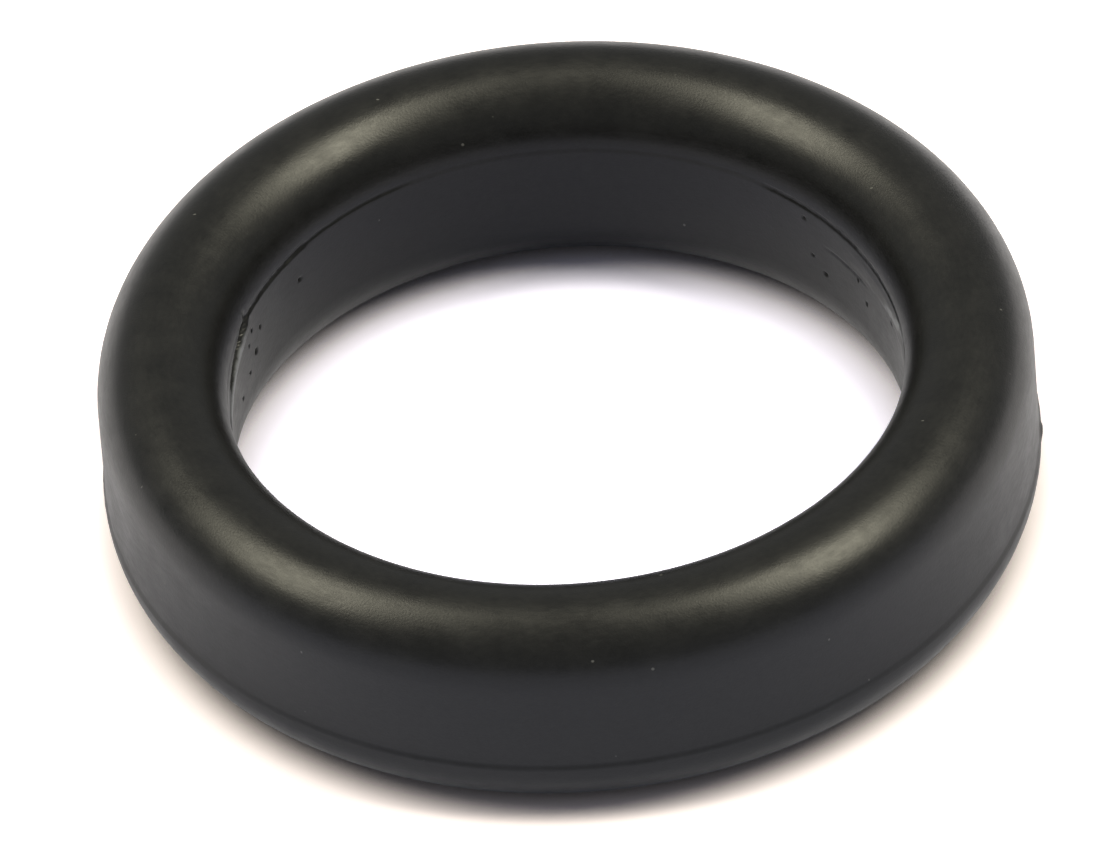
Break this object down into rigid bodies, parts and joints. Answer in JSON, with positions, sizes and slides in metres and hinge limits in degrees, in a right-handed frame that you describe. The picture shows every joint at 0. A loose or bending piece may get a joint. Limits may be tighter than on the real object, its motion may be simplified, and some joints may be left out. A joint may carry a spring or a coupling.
{
  "type": "o-ring",
  "caption": "Black rubber sealing ring with a tall oblong section: straight bore and outer walls, full-round crown and foot, and a mould line on each wall.",
  "frame": {"origin": "centre of the circle that the foot rests on", "axes": "+Z along the ring's axis, from the foot to the crown; X and Y in the plane that it lies on"},
  "size_m": [0.018, 0.018, 0.0045],
  "materials": {
    "rubber": "satin moulded black rubber"
  },
  "bodies": {
    "root": {"o_ring": "rubber"}
  },
  "joints": []
}
